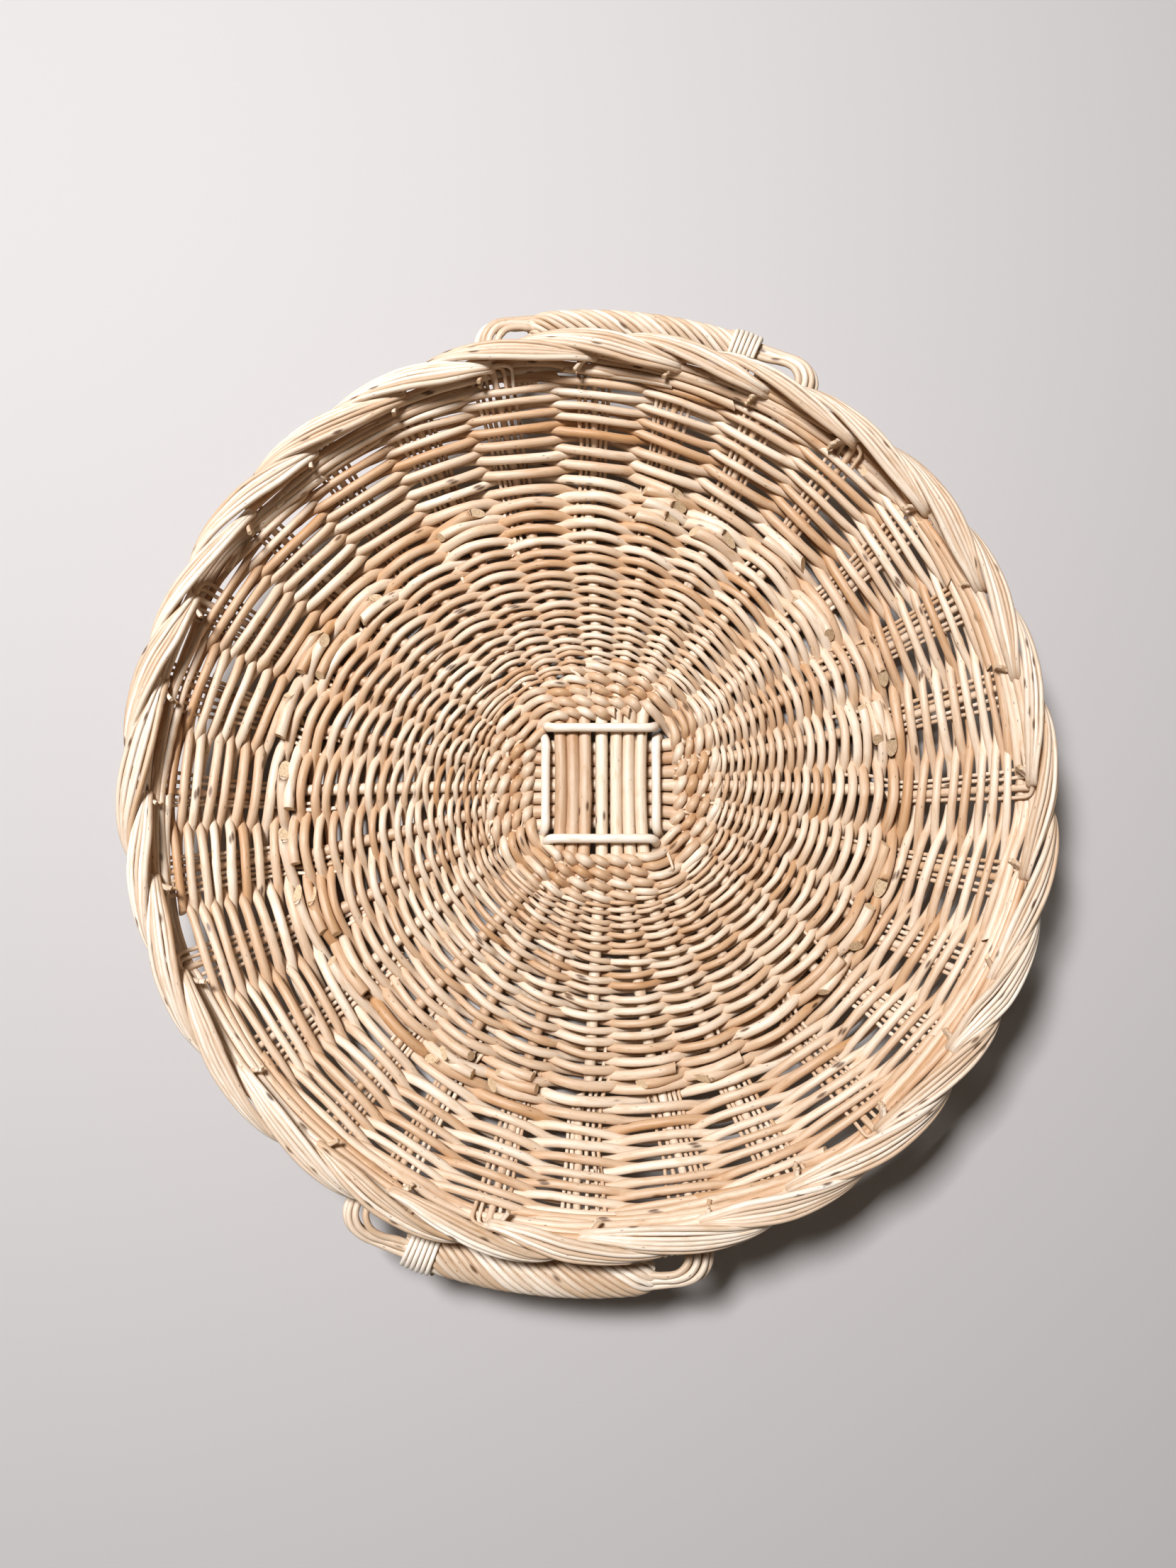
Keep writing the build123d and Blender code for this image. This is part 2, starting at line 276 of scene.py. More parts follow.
def willow(name, light, dark, specks):
    """Peeled willow: long fibres, slow colour changes, small dark knots, pale cut ends."""
    material = bpy.data.materials.new(name)
    material.use_nodes = True
    skin = SkinNodes(material)
    shader = material.node_tree.nodes["Principled BSDF"]
    shader.inputs["Specular IOR Level"].default_value = 0.5

    fibre = skin.noise(skin.stretched(0.05, 1.0), 2.4, 5.0, 0.6)
    slow = skin.noise(skin.stretched(0.012, 0.12), 1.0, 2.0)
    blotch = skin.noise(skin.stretched(0.06, 0.25), 1.0, 3.0)
    rod_tone = skin.maths("MULTIPLY", skin.stored("tone"), 0.55)
    shift = skin.maths("ADD", rod_tone, skin.maths("MULTIPLY", slow, 0.9))
    shift = skin.maths("SUBTRACT", shift, 0.22)
    middle = tuple((a + b) / 2 for a, b in zip(light, dark))
    colour = skin.ramp(shift, (0.1, light), (0.5, middle), (0.95, dark))
    fibre_tint = skin.ramp(fibre, (0.3, (0.80, 0.72, 0.60)), (0.52, WHITE), (0.75, (1.06, 1.03, 0.98)))
    colour = skin.mixed("MULTIPLY", 0.75, colour, fibre_tint)
    blotch_tint = skin.ramp(blotch, (0.28, (0.80, 0.66, 0.48)), (0.45, WHITE))
    colour = skin.mixed("MULTIPLY", 0.6, colour, blotch_tint)

    knots = skin.spots(0.045, 0.14, "Red", specks * 0.7, 0.09, 0.2)
    dots = skin.spots(0.16, 0.6, "Green", specks * 0.4, 0.08, 0.2)
    patch = skin.maths("GREATER_THAN", skin.noise(skin.stretched(0.03, 0.2), 1.0, 1.0), 0.52)
    marks = skin.maths("MAXIMUM", knots, skin.maths("MULTIPLY", dots, patch))
    colour = skin.mixed("MIX", skin.maths("MULTIPLY", marks, 0.85), colour, SPECK_BROWN)
    cut_grain = skin.noise(skin.stretched(0.3, 1.2), 1.0, 3.0)
    pith = skin.ramp(cut_grain, (0.3, (0.50, 0.34, 0.19)), (0.65, (0.78, 0.62, 0.42)))
    colour = skin.mixed("MIX", skin.stored("cut"), colour, pith)
    skin.feed(shader.inputs["Base Color"], colour)

    rough = skin.node("ShaderNodeMapRange")
    rough.inputs["To Min"].default_value = ROUGHNESS_LOW
    rough.inputs["To Max"].default_value = ROUGHNESS_HIGH
    skin.feed(rough.inputs["Value"], fibre)
    skin.feed(shader.inputs["Roughness"], rough.outputs["Result"])
    bump = skin.node("ShaderNodeBump", Strength=0.28, Distance=0.0006)
    skin.feed(bump.inputs["Height"], skin.maths("SUBTRACT", fibre, skin.maths("MULTIPLY", marks, 0.8)))
    skin.feed(shader.inputs["Normal"], bump.outputs["Normal"])
    return material


stick_skin = willow("willow_stick", (0.84, 0.71, 0.55), (0.52, 0.32, 0.18), specks=0.5)
pale_skin = willow("willow_pale", (0.90, 0.82, 0.71), (0.76, 0.61, 0.45), specks=0.3)
weave_skin = willow("willow_weave", (0.87, 0.75, 0.60), (0.54, 0.31, 0.15), specks=0.75)
stake_skin = willow("willow_stakes", (0.87, 0.75, 0.61), (0.58, 0.38, 0.22), specks=0.6)
border_skin = willow("willow_border", (0.88, 0.78, 0.65), (0.54, 0.35, 0.20), specks=0.65)
handle_skin = willow("willow_handle", (0.86, 0.76, 0.63), (0.56, 0.38, 0.23), specks=0.5)


# The weave's middle surface: flat base, rounded turn, straight sloping wall

def fade(value, start, end):
    """Nought up to the start, one from the end on, and straight between them."""
    return np.clip((np.asarray(value, float) - start) / (end - start), 0, 1)


RUN_STEP = 0.5
TURN_START, TURN_END = BASE_RADIUS - 6, BASE_RADIUS + 26
run_grid = np.arange(0, 340, RUN_STEP)
wall_angle = math.atan2(WALL_TOP[1] - BASE_MID, WALL_TOP[0] - (TURN_START + TURN_END) / 2)
turn_share = fade(run_grid, TURN_START, TURN_END)
lean_grid = wall_angle * turn_share**2 * (3 - 2 * turn_share)
radius_grid = np.concatenate([[0], np.cumsum(np.cos(lean_grid[:-1]) * RUN_STEP)])
height_grid = BASE_MID + np.concatenate([[0], np.cumsum(np.sin(lean_grid[:-1]) * RUN_STEP)])
WALL_RUN = float(np.interp(WALL_TOP[1], height_grid, run_grid))


def middle_shift(run):
    """How far the pattern's middle is off the axis at this distance out."""
    t = fade(run, 70, BASE_RADIUS - 10)
    return (1 - t * t * (3 - 2 * t))[..., None] * SLATH


def squareness(run, angle):
    """The first rounds follow the square of the crossed sticks."""
    return 1 + 0.14 * (1 - fade(run, 48, 93)) * np.sin(2 * angle) ** 2


def stick_plan(spoke):
    """Where a spoke's stick leaves the slath, its end, and 1 if it lies on top or -1 if underneath."""
    side, place = divmod((spoke + STICKS // 2) % SPOKES, STICKS)
    offset = (place - (STICKS - 1) / 2) * STICK_PITCH
    starts = ((SLATH_EDGE, offset), (-offset, SLATH_EDGE), (-SLATH_EDGE, -offset), (offset, -SLATH_EDGE))
    turn = math.radians(spoke * 360 / SPOKES)
    end = np.array([math.cos(turn), math.sin(turn)]) * (BASE_RADIUS - 8)
    return SLATH + np.array(starts[side]), end, 1 if side in (1, 3) else -1


def spoke_table():
    """For each spoke, its angle about the local middle at every distance out."""
    table = np.empty((SPOKES, len(run_grid)))
    wander = rng.normal(0, math.radians(0.75), SPOKES)
    for spoke in range(SPOKES):
        start, end, _ = stick_plan(spoke)
        t = np.linspace(-0.15, 1.0, 400)[:, None]
        path = start + t * (end - start)
        run = np.linalg.norm(path - SLATH, axis=1)
        for _ in range(6):
            away = path - middle_shift(run)
            angle = np.arctan2(away[:, 1], away[:, 0])
            run = np.linalg.norm(away, axis=1) / squareness(run, angle)
        ring_angle = spoke * 2 * math.pi / SPOKES
        angle = ring_angle + (angle - ring_angle + math.pi) % (2 * math.pi) - math.pi
        order = np.argsort(run)
        table[spoke] = np.interp(run_grid, run[order], angle[order])
        table[spoke] += wander[spoke] * fade(run_grid, 90, 200)
    return table


spoke_angles = spoke_table()
stick_lifts = np.array([stick_plan(spoke)[2] for spoke in range(SPOKES)]) * STICK_RADIUS


def angle_at(place, run):
    """The angle at a fractional spoke place and distance out."""
    place = np.asarray(place, float)
    low = np.floor(place).astype(int)
    part = place - low
    column = np.clip(run, 0, run_grid[-1]) / RUN_STEP
    left = np.clip(column.astype(int), 0, len(run_grid) - 2)
    share = column - left

    def angle_of(spoke):
        wrapped = spoke % SPOKES
        value = spoke_angles[wrapped, left] * (1 - share) + spoke_angles[wrapped, left + 1] * share
        return value + (spoke // SPOKES) * 2 * math.pi

    return angle_of(low) * (1 - part) + angle_of(low + 1) * part


def lift_at(place, run):
    """Height of the sticks' middle line above the weave's middle near the slath."""
    low = np.floor(place).astype(int)
    part = place - low
    lift = stick_lifts[low % SPOKES] * (1 - part) + stick_lifts[(low + 1) % SPOKES] * part
    return (1 - fade(run, 48, 84)) * lift


def surface(place, run, inward):
    """A point at a spoke place, a distance out along the weave and a height off it."""
    place, run, inward = np.broadcast_arrays(*(np.asarray(v, float) for v in (place, run, inward)))
    angle = angle_at(place, run)
    lean = np.interp(run, run_grid, lean_grid)
    radius = np.interp(run, run_grid, radius_grid) * squareness(run, angle) - inward * np.sin(lean)
    height = np.interp(run, run_grid, height_grid) + inward * np.cos(lean) + lift_at(place, run)
    shift = middle_shift(run)
    east = shift[..., 0] + radius * np.cos(angle)
    north = shift[..., 1] + radius * np.sin(angle)
    return np.stack([east, north, height], axis=-1)


def off_the_floor(line, radius):
    """The same line, raised wherever the rod would go into the floor."""
    lifted = line.copy()
    lifted[:, 2] = np.maximum(line[:, 2], radius + FLOOR_GAP)
    return lifted


def spoke_radius(run):
    """Half the thickness of what the weavers bend round: sticks on the base, stakes on the wall."""
    return np.interp(run, [40, 90, 196, 215, 300], [STICK_RADIUS, 3.9, 3.5, 2.9, 2.1])


# Base sticks and the binders of the slath

def stick_line(spoke, other):
    """Middle line of a stick from one spoke end across the slath to the other."""
    start, end, lift = stick_plan(spoke)
    far_start, far_end, _ = stick_plan(other)
    heights = [BASE_MID + STICK_RADIUS * lift * share for share in (0, 0, 0.25, 1)]
    halves = []
    for tip, edge in ((end, start), (far_end, far_start)):
        plan = [tip, tip + (edge - tip) * 0.5, tip + (edge - tip) * 0.82, edge]
        halves.append([(*point, height) for point, height in zip(plan, heights)])
    return spline(halves[0] + halves[1][::-1], 150)


for number in range(STICKS):
    place = number - STICKS // 2
    along_ends, across_ends = (QUARTER - place, 3 * QUARTER + place), (place, 2 * QUARTER - place)
    for direction, (spoke, other) in (("along", along_ends), ("across", across_ends)):
        line = stick_line(spoke % SPOKES, other % SPOKES)
        out = np.abs(np.linspace(-1, 1, len(line)))
        line[:, :2] += smooth_noise(len(line), 30, 0.25)[:, None]
        if direction == "along":
            line[:, 0] += STICK_SHIFTS[number] * np.clip(1.5 - 3 * out, 0, 1)
        radius = STICK_RADIUS - (STICK_RADIUS - STICK_END_RADIUS) * np.clip(out * 1.15 - 0.25, 0, 1)
        made = rod(line, knotty(radius * rng.uniform(0.96, 1.01), 2.7, 0.012, 90), 14)
        name = f"stick_{direction}_{number + 1}"
        piece(f"{name}_rod", [made], stick_skin, "willow_stick", name)


def binder(side):
    """A slath binder: straight along the sticks' edge, with both ends turned down."""
    low, high = (np.array(corner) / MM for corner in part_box(f"slath_binder_{side}"))
    middle = (low + high) / 2
    axis = 0 if side in ("north", "south") else 1
    outward = 1 if side in ("north", "east") else -1
    top = high[2] - BINDER_RADIUS - 0.1
    half = (high[axis] - low[axis]) / 2 - (8 if axis == 0 else 3)
    profile = (
        (-half - 3, -11, 2.5), (-half - 1.5, -4, 1.0), (-half + 3, -0.4, 0), (-half / 2, 0.2, 0), (0, 0, 0),
        (half / 2, 0.3, 0), (half - 3, -0.4, 0), (half + 1.5, -4, 1.0), (half + 3, -11, 2.5),
    )
    points = []
    for along, up, out in profile:
        point = [0.0, 0.0, top + up]
        point[axis] = middle[axis] + along
        point[1 - axis] = middle[1 - axis] + outward * out
        points.append(point)
    radius = knotty(np.full(70, BINDER_RADIUS), 1.2, 0.015, 120)
    return rod(spline(points, 70), radius, 14, tone=rng.uniform(0, 0.3))


for side in ("north", "south", "east", "west"):
    piece(f"slath_binder_{side}_rod", [binder(side)], pale_skin, "willow_pale", f"slath_binder_{side}")


# Weavers: each goes in front of one spoke and behind the next, one row up every second spoke

def row_run(row):
    """Distance out of a row: fine rows at the centre, wide where the butts are."""
    row = np.asarray(row, float)
    base = FIRST_ROW_RUN + ROW_PITCH * row + ROW_GROWTH * row**2
    up = row - JOIN_ROW
    return np.where(row < JOIN_ROW, base, JOIN_RUN + WALL_PITCH * up - WALL_SHRINK * up**2)


def pass_shape(step):
    """Row offset and side of the weave at a place counted in spokes from a pass on the inside."""
    fold = np.abs((step + 1) % 2 - 1)
    rounding = 0.006
    corner = np.sqrt(fold**2 + rounding) - 0.077
    inward = np.cos(np.pi * step + 0.25)
    return step / 2 - KINK * corner, np.sign(inward) * np.abs(inward) ** 0.75


def weaver(line_number, first, last, diameter, lift, sideways, wobble):
    """Middle line and radius of a weaver between two steps, counted in spokes from its first pass."""
    count = int(abs(last - first) * POINTS_PER_SPOKE) + 2
    step = np.linspace(first, last, count)
    row, side = pass_shape(step)
    place = line_number + step + smooth_noise(count, POINTS_PER_SPOKE, 0.02)
    run = row_run(row) + smooth_noise(count, POINTS_PER_SPOKE, wobble) + sideways(step)
    thick = diameter(row)
    reach = spoke_radius(run) + thick * 0.52
    inward = side * reach + smooth_noise(count, POINTS_PER_SPOKE, 0.3) + lift(step)
    return off_the_floor(surface(place, run, inward), thick / 2), thick / 2


def near(step, place, reach):
    """One at this place along a rod, fading to nothing on both sides."""
    return np.exp(-((step - place) / reach) ** 2)


def base_weaver(number, last):
    """A weaver from its tip at the centre to its butt, which stands up on the inside at the join."""
    end = last + rng.uniform(0.16, 0.34)
    rise, aside = rng.uniform(4.5, 7.0), rng.uniform(2.8, 4.4)
    size = rng.uniform(0.92, 1.08)

    def thickness(row):
        thick = 2.9 + 3.4 * np.clip(row / JOIN_ROW, 0, 1.05) ** 0.95
        return thick * size * (1 + 0.12 * (row > JOIN_ROW - 2))

    def lift(step):
        return rise * near(step, end, 0.45)

    def sideways(step):
        return -aside * near(step, end, 0.8)

    line, radius = weaver(number, -1 + rng.uniform(-0.2, 0.2), end, thickness, lift, sideways, 0.7)
    radius = knotty(radius, 3, 0.03, 75)
    return rod(line, radius, 12, cuts=(0, rng.uniform(0.3, 1.1)), cut_side=rng.uniform(1.0, 2.2))


def wall_weaver(number, last):
    """A weaver from its butt at the join up to its tip under the border."""
    size = rng.uniform(0.92, 1.08)
    start = last - rng.uniform(0.22, 0.42)
    rise, aside = rng.uniform(3.0, 6.0), rng.uniform(2.2, 3.8)
    finish = 2 * (JOIN_ROW + WALL_ROWS) + rng.uniform(-0.8, 1.2)

    def thickness(row):
        return np.interp(row - JOIN_ROW, [-1, 0, 2.5, WALL_ROWS], [7.3, 7.1, 6.0, 4.6]) * size

    def lift(step):
        return rise * near(step, start, 0.4)

    def sideways(step):
        return aside * near(step, start, 0.8)

    line, radius = weaver(number, start, finish, thickness, lift, sideways, 0.9)
    radius = knotty(radius, 4, 0.03, 75)
    return rod(line, radius, 14, cuts=(-rng.uniform(0.8, 2.2), 0.8), cut_side=rng.uniform(1.0, 2.2))


for number in range(SPOKES):
    last = 2 * (JOIN_ROW + int(rng.choice([-1, 0, 0, 0, 1])))
    label = f"{number + 1:02d}"
    piece(f"base_weaver_{label}", [base_weaver(number, last)], weave_skin, "willow_weave", "base_weave")
    piece(f"wall_weaver_{label}", [wall_weaver(number, last)], weave_skin, "willow_weave", "wall_weave")


# Centre pairing: rounds of two rods that twist about each other between the sticks, and their frayed tips

def pairing_strand(pairing_round, strand):
    """One rod of a round, over one stick and under the next, spiralling out."""
    count = SPOKES * 12 + 30
    step = np.linspace(strand, strand + SPOKES + 2.4, count)
    twist = np.pi * (step - strand)
    run = PAIRING_RUN + PAIRING_PITCH * (pairing_round + (step - strand) / SPOKES) + 2.0 * np.sin(twist)
    run = run + smooth_noise(count, 12, 0.4)
    inward = np.cos(twist) * (spoke_radius(run) + 2.3)
    line = off_the_floor(surface(step + 5, run, inward), 3.2)
    radius = knotty(np.full(count, 3.15 - 0.15 * pairing_round), 1.2, 0.06, 60)
    return rod(line, radius, 12, cuts=(0.8, 0.8))


def frayed_tip():
    """A short split end sticking out beside the slath, oftenest opposite the middle of its four sides."""
    sides = ((QUARTER, 1.8), (0, 1.8), (2 * QUARTER, 1.8), (3 * QUARTER, 2.0))
    place = rng.choice([rng.normal(middle, spread) for middle, spread in sides])
    run = rng.uniform(52, 82)
    root = surface(place, run, rng.uniform(2.5, 5.0))
    reach = rng.uniform(4, 10)
    heading = rng.normal(0, 1, 3) * [1, 1, 0.35] + [0, 0, 0.25]
    heading /= np.linalg.norm(heading)
    curl = rng.normal(0, 0.35, 3) * reach * [1, 1, 0.4]
    t = np.linspace(-0.5, 1, 9)[:, None]
    line = root + heading * reach * t + curl * t**2
    radius = np.linspace(1.5, rng.uniform(0.5, 1.3), 9)
    return rod(line, radius, 7, tone=rng.uniform(0, 0.6), cuts=(0, 1.2))


pairing_rods = []
for pairing_round in range(PAIRING_ROUNDS):
    pairing_rods += [pairing_strand(pairing_round, strand) for strand in (0, 1)]
pairing_rods += [frayed_tip() for _ in range(FRAYED_TIPS)]
piece("centre_pairing_rods", pairing_rods, weave_skin, "willow_weave", "centre_pairing")


# Side stakes that climb the wall and lie down along the rim as the border

# Spokes along, distance out from the rim's edge, height above its top, and share of the bundle's spread
BORDER_PATH = (
    (0.00, -12.0, -16.0, 0.5), (0.05, -15.0, -9.5, 0.4), (0.22, -15.8, -4.6, 0.5), (0.55, -13.2, -2.0, 0.95),
    (0.95, -8.5, -1.4, 1.1), (1.35, -4.2, -3.8, 0.9), (1.66, -2.6, -8.5, 0.6), (1.90, -6.0, -13.0, 0.4),
    (2.04, -12.0, -14.5, 0.45), (2.14, -18.5, -13.5, 0.6), (2.21, -25.0, -12.0, 0.8),
)
BORDER_SPREAD = 2.6
WALL_POINTS, RIM_POINTS = 46, 96


def border_line(spoke, offset, crown, jitter):
    """A stake from the wall over the rim, along it, and back through to the inside."""
    points = []
    for step, inset, drop, spread in BORDER_PATH:
        tilt = np.interp(step, [0, 0.26, 0.9, 1.5, 1.9, 2.1], [0.9, 0.35, -0.15, -0.7, -1.3, -1.55])
        radius = RIM_RADIUS + inset + offset * spread * math.cos(tilt) + jitter[0]
        height = RIM_TOP + drop + offset * spread * math.sin(tilt) + crown + jitter[1]
        angle = float(angle_at(np.array(spoke + step), np.array(300.0)))
        points.append((radius * math.cos(angle), radius * math.sin(angle), height))
    return points


def stake(spoke, member, offset):
    """Two rods of a stake: up the wall, then along the rim. Member 0 is stout, the others thin."""
    if member == 0:
        diameter, start, sideways = 5.9, JOIN_RUN - 3, 0.0
    else:
        diameter = rng.uniform(2.2, 3.0)
        start = rng.uniform(165, 190) if member > 0 else rng.uniform(196, 214)
        sideways = math.copysign(3.0 + (abs(member) - 0.5) * 3.4, member)
    run = np.linspace(start, WALL_RUN + 9, WALL_POINTS)
    spoke_width = np.interp(run, run_grid, radius_grid) * 2 * math.pi / SPOKES
    fan = 1 + 0.35 * fade(run, 240, 300) + 0.45 * (1 - fade(run, 186, 206))
    place = spoke + (sideways * fan + smooth_noise(WALL_POINTS, 8, 0.35)) / spoke_width
    inward = smooth_noise(WALL_POINTS, 8, 0.25) + (0.6 if member == 0 else rng.uniform(0.3, 1.4))
    wall_part = surface(place, run, inward)
    crown = -0.03 * offset**2 + rng.uniform(-0.6, 0.9)
    rim_part = spline(border_line(spoke, offset, crown, rng.uniform(-0.5, 0.5, 2)), RIM_POINTS)
    line = np.vstack([wall_part, rim_part[2:]])
    low, high = WALL_POINTS - 6, WALL_POINTS + 10
    for _ in range(3):
        line[low:high] = (line[low - 1:high - 1] + line[low:high] + line[low + 1:high + 1]) / 3
    wall_thick = np.linspace(diameter, max(diameter * 0.75, 2.5), WALL_POINTS)
    rim_thick = np.linspace(max(diameter * 0.75, 2.9), 2.7, RIM_POINTS - 2)
    kept = len(line) - int(rng.integers(0, 9))
    line = line[:kept]
    radius = knotty(np.concatenate([wall_thick, rim_thick])[:kept] / 2, 3, 0.03, 80)
    tone = rng.uniform(0, 1)
    climbing = rod(line[:WALL_POINTS + 3], radius[:WALL_POINTS + 3], 10, tone, cuts=(0.5, 0))
    lying = rod(line[WALL_POINTS:], radius[WALL_POINTS:], 10, tone, cuts=(0, rng.uniform(-0.5, 0.5)))
    return climbing, lying


for spoke in range(SPOKES):
    lefts = [-1, -2] if rng.random() < 0.75 else [-1]
    rights = [1, 2, 3] if rng.random() < 0.6 else [1, 2]
    members = [0] + lefts + rights
    middle = (len(members) - 1) / 2
    stakes = [stake(spoke, member, (order - middle) * BORDER_SPREAD) for order, member in enumerate(members)]
    climbing, lying = zip(*stakes)
    quarter = ("east", "north", "west", "south")[(spoke + STICKS // 2) // QUARTER % 4]
    label = f"{spoke + 1:02d}"
    piece(f"stakes_{label}", climbing, stake_skin, "willow_stakes", f"side_stakes_{quarter}")
    border_nodes = (f"border_{quarter}", f"border_tips_{quarter}")
    piece(f"bundle_{label}", lying, border_skin, "willow_border", *border_nodes)


# Top wale: loose heavier rods in front of three stakes and behind one

def wale_rod(number):
    """One rod of the wale, climbing towards the border as it goes round."""
    start = number + rng.uniform(0, 0.4)
    step = np.linspace(0, 4.6 + rng.uniform(0, 1.2), 80)
    phase = (step + number) % 4
    in_front = np.abs(np.sin(np.pi * phase / 3)) ** 0.5 * 1.2 - 0.05
    behind = -np.abs(np.sin(np.pi * (phase - 3))) ** 0.7
    run = WALL_RUN - 5 + 19.5 * fade(step, 0, 5) + smooth_noise(80, 14, 1.1)
    line = surface(start + step, run, np.where(phase < 3, in_front, behind) * 4.6)
    return rod(line, knotty(np.linspace(2.8, 2.3, 80), 3, 0.03, 80), 10, cuts=(0.9, 0.9))


wale_rods = [wale_rod(number) for number in range(SPOKES)]
piece("top_wale_rods", wale_rods, weave_skin, "willow_weave", "top_wale")


# Handles: a core, twisted strands, a lashing at one end, and an ear with its wraps at both

HANDLE_AZIMUTH = 83.0
ROPE_HALF_ANGLE = 14.5
ROPE_HALF = math.radians(ROPE_HALF_ANGLE)
rope_low, rope_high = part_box("handle_north_roping")
ROPE_RADIUS = 302.0
ROPE_HEIGHT = (rope_low[2] + rope_high[2]) / 2 / MM + 3
UP = np.array([0.0, 0.0, 1.0])
STRANDS = 12
LAY = 81.0
LASHING_TURNS = 6
# Distance along past the bow's end, distance out and height of an ear's rod
EAR_PATH = (
    (-6, 0, 0), (5, 0.6, 1), (14, 1.2, 3), (22, -0.5, 4.5),
    (28, -6, 4), (30, -14, 1), (28, -21, -3), (24, -27, -8),
)
# Distance out, height and extra reach of each of an ear's rods
EAR_LAYERS = ((5.4, 4.6, 6), (6.4, 0.4, 9), (5.0, -4.0, 5), (1.4, 6.0, 2), (1.2, 1.6, 4), (-2.6, 5.6, -3))
# Radius and height of a wrap as it passes over the ear's rods where they enter the border
WRAP_PATH = ((271, 46), (279, 52), (285, 60), (288, 69), (285, 77), (277, 81))


def bow_frame(angle):
    """Middle of the bow at angles from its middle, with its outward direction."""
    out = np.stack([np.cos(angle), np.sin(angle), np.zeros_like(angle)], axis=-1)
    return out * ROPE_RADIUS + np.array([0, 0, ROPE_HEIGHT]), out


def around(ring, spin, out):
    """Steps off the bow's middle line, by a distance and an angle round it."""
    return ring[:, None] * (np.cos(spin)[:, None] * out + np.sin(spin)[:, None] * UP)


def turned(line, degrees):
    """The same line turned about the basket's axis."""
    c, s = math.cos(math.radians(degrees)), math.sin(math.radians(degrees))
    return np.asarray(line) @ np.array([[c, s, 0], [-s, c, 0], [0, 0, 1]])


def roping(angle, azimuth):
    """The strands twisted round the core, drawn in to it at both ends."""
    middle, out = bow_frame(angle)
    ring = 5.0 + 4.0 * np.clip((ROPE_HALF - np.abs(angle)) / math.radians(2.2), 0, 1) ** 0.5
    strands = []
    for strand in range(STRANDS):
        spin = -2 * math.pi * (angle * ROPE_RADIUS / LAY + strand / STRANDS)
        line = middle + around(ring, spin, out)
        radius = knotty(np.full(len(angle), rng.uniform(1.8, 2.15)), 1.3, 0.02, 90)
        strands.append(rod(turned(line, azimuth), radius, 10))
    return strands


def lashing(azimuth):
    """A coil round the strands at one end of the bow."""
    turn = np.linspace(0, LASHING_TURNS, LASHING_TURNS * 26)
    middle, out = bow_frame(-ROPE_HALF + 0.006 + turn * 3.1 / ROPE_RADIUS)
    ring = 12.2 - 1.2 * np.abs(turn / LASHING_TURNS - 0.5)
    line = middle + around(ring, 2 * math.pi * turn, out)
    return rod(turned(line, azimuth), knotty(np.full(len(turn), 1.45), 2, 0.03, 90), 10)


def ear_path(side, outward, upward, reach):
    """One bare rod from the bow's end round into the wall."""
    points = []
    for along, out, lift in EAR_PATH:
        angle = side * (ROPE_HALF + (along + reach * (along > 0)) / ROPE_RADIUS)
        radius = ROPE_RADIUS + out + outward * max(0.4, 1 - max(0, along) / 60)
        points.append((radius * math.cos(angle), radius * math.sin(angle), ROPE_HEIGHT + upward + lift))
    return points


def ear(side, longer, azimuth):
    """The bare rods of one ear."""
    rods = []
    for outward, upward, reach in EAR_LAYERS:
        line = spline(ear_path(side, outward, upward, reach + longer + rng.uniform(-1, 1)), 60)
        radius = knotty(np.full(60, rng.uniform(1.9, 2.3)), 1.2, 0.02, 60)
        rods.append(rod(turned(line, azimuth), radius, 10))
    return rods


def wraps(side, longer, azimuth):
    """The thin turns that tie an ear's rods to the border."""
    rods = []
    for place in range(6):
        angle = math.radians(side * (ROPE_HALF_ANGLE + 0.4 + longer * 0.1 + place * 0.74))
        points = []
        for radius, height in WRAP_PATH:
            uneven = rng.uniform(-0.4, 0.4)
            points.append((radius * math.cos(angle), radius * math.sin(angle), height + uneven))
        rods.append(rod(turned(spline(points, 34), azimuth), knotty(np.full(34, 1.75), 1.1, 0.02, 60), 10))
    return rods


bow_angle = np.linspace(-ROPE_HALF, ROPE_HALF, 120)
for end_name, azimuth in (("north", HANDLE_AZIMUTH), ("south", HANDLE_AZIMUTH + 180)):
    name = f"handle_{end_name}"
    core = rod(turned(bow_frame(bow_angle)[0], azimuth), 6.4, 16)
    piece(f"{name}_core_rod", [core], handle_skin, "willow_handle", f"{name}_core")
    piece(f"{name}_strands", roping(bow_angle, azimuth), handle_skin, "willow_handle", f"{name}_roping")
    piece(f"{name}_lashing_rod", [lashing(azimuth)], pale_skin, "willow_pale", f"{name}_lashing")
    for side_name, side, longer in (("right", -1, 5), ("left", 1, -3)):
        ear_name, wraps_name = f"{name}_ear_{side_name}", f"{name}_wraps_{side_name}"
        piece(f"{ear_name}_rods", ear(side, longer, azimuth), handle_skin, "willow_handle", ear_name)
        piece(f"{wraps_name}_rods", wraps(side, longer, azimuth), pale_skin, "willow_pale", wraps_name)


# Floor, light and camera

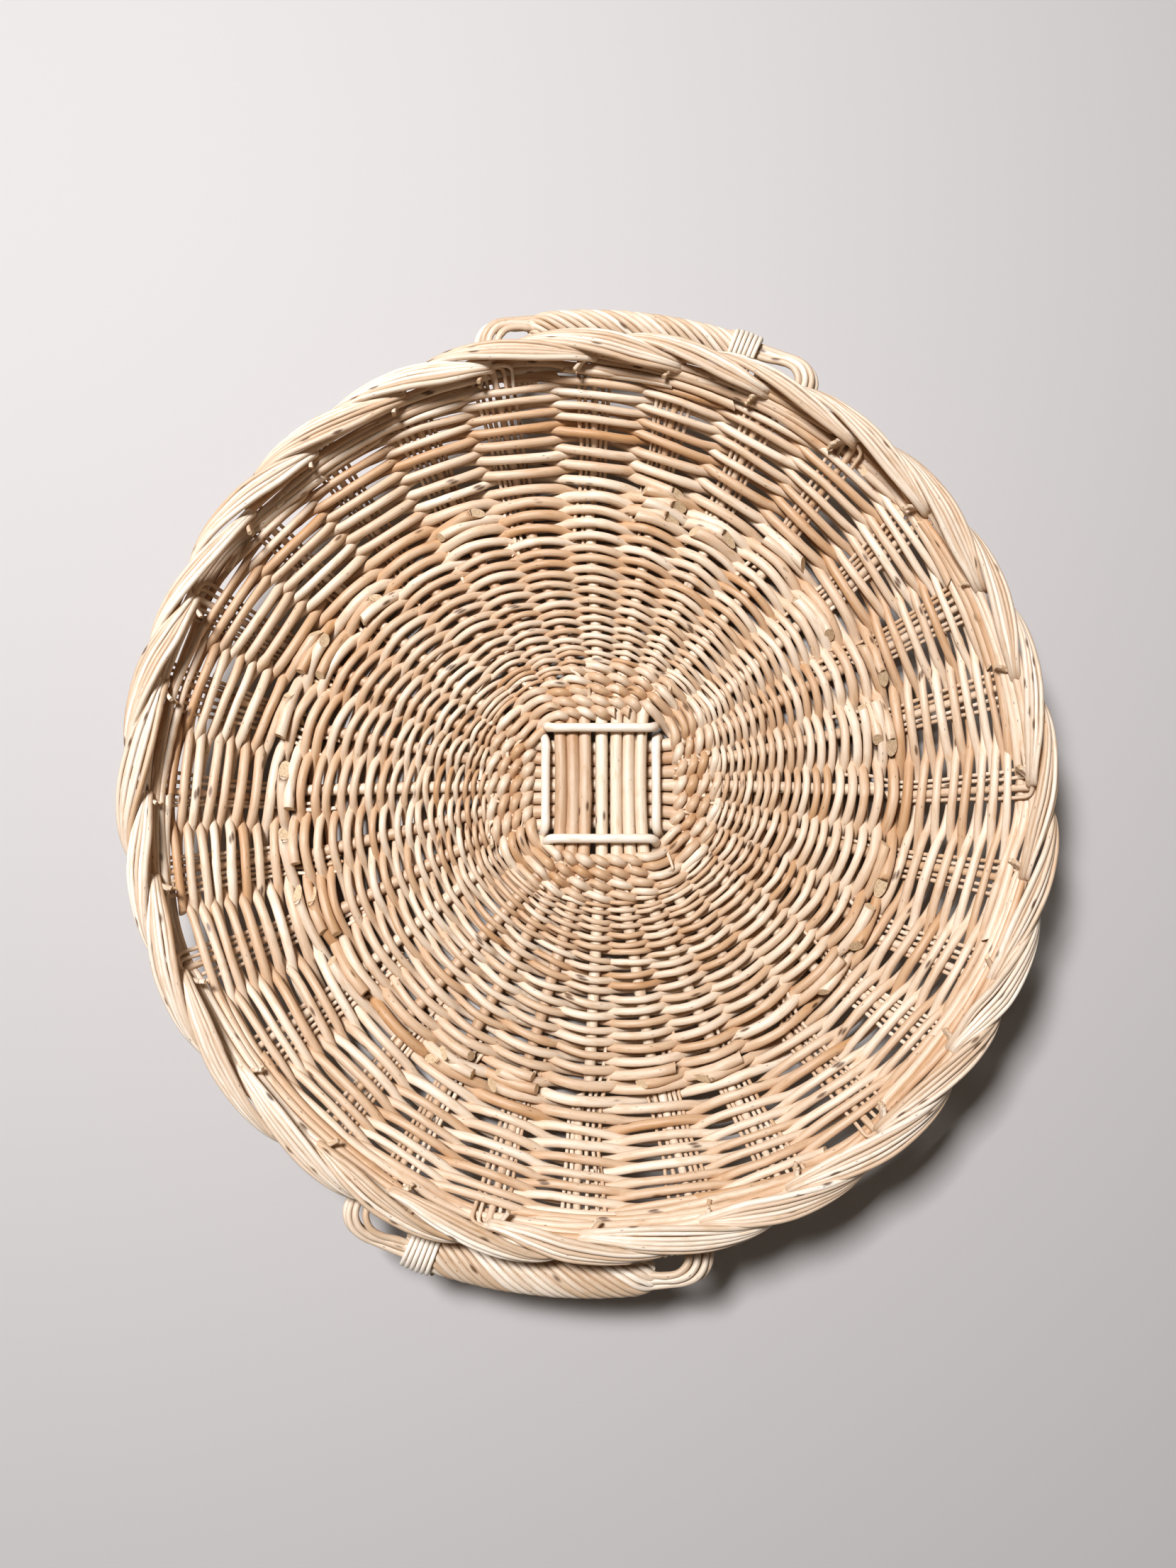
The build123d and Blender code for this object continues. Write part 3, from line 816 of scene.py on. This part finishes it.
FLOOR_HALF = 4.0
floor_corners = [(x * FLOOR_HALF, y * FLOOR_HALF, 0) for x, y in ((-1, -1), (1, -1), (1, 1), (-1, 1))]
floor_mesh = bpy.data.meshes.new("floor")
floor_mesh.from_pydata(floor_corners, [], [(0, 1, 2, 3)])
floor = bpy.data.objects.new("floor", floor_mesh)
bpy.context.scene.collection.objects.link(floor)
floor_skin = bpy.data.materials.new("floor_skin")
floor_skin.use_nodes = True
floor_shader = floor_skin.node_tree.nodes["Principled BSDF"]
floor_shader.inputs["Base Color"].default_value = (0.50, 0.47, 0.44, 1)
floor_shader.inputs["Roughness"].default_value = 0.8
floor_mesh.materials.append(floor_skin)

BASKET_MIDDLE = Vector((0, 0, 0.03))
WARM_WHITE = (1.0, 0.93, 0.86)


def area_light(name, place, size, watts, colour):
    """A soft square lamp aimed at the basket."""
    lamp = bpy.data.lights.new(name, "AREA")
    lamp.size = size
    lamp.energy = watts
    lamp.color = colour
    holder = bpy.data.objects.new(name, lamp)
    bpy.context.scene.collection.objects.link(holder)
    holder.location = place
    holder.rotation_euler = (BASKET_MIDDLE - Vector(place)).to_track_quat("-Z", "Y").to_euler()


area_light("window", (-0.62, 0.66, 2.0), 0.46, 68, (0.905, 0.93, 1.0))
area_light("fill", (1.6, -1.2, 1.8), 2.0, 1.5, WARM_WHITE)
world = bpy.data.worlds.new("room")
world.use_nodes = True
background = world.node_tree.nodes["Background"]
background.inputs["Color"].default_value = (*WARM_WHITE, 1)
background.inputs["Strength"].default_value = 0.10
bpy.context.scene.world = world

RIM_HEIGHT = 0.085
RIM_DISTANCE = 0.7185
TILT = math.radians(6.39)
AIM_DROP = math.radians(0.35)
camera_data = bpy.data.cameras.new("camera")
camera_data.sensor_fit = "VERTICAL"
camera_data.sensor_height = 36
camera_data.lens = 27.1953
camera_data.clip_start = 0.01
camera = bpy.data.objects.new("camera", camera_data)
bpy.context.scene.collection.objects.link(camera)
camera.location = (-0.0006, 0.001 - RIM_DISTANCE * math.tan(TILT), RIM_HEIGHT + RIM_DISTANCE)
camera.rotation_euler = (TILT - AIM_DROP, 0, 0)
bpy.context.scene.camera = camera
bpy.context.scene.view_settings.view_transform = "Standard"
bpy.context.scene.view_settings.look = "Medium High Contrast"
bpy.context.scene.view_settings.exposure = -0.1
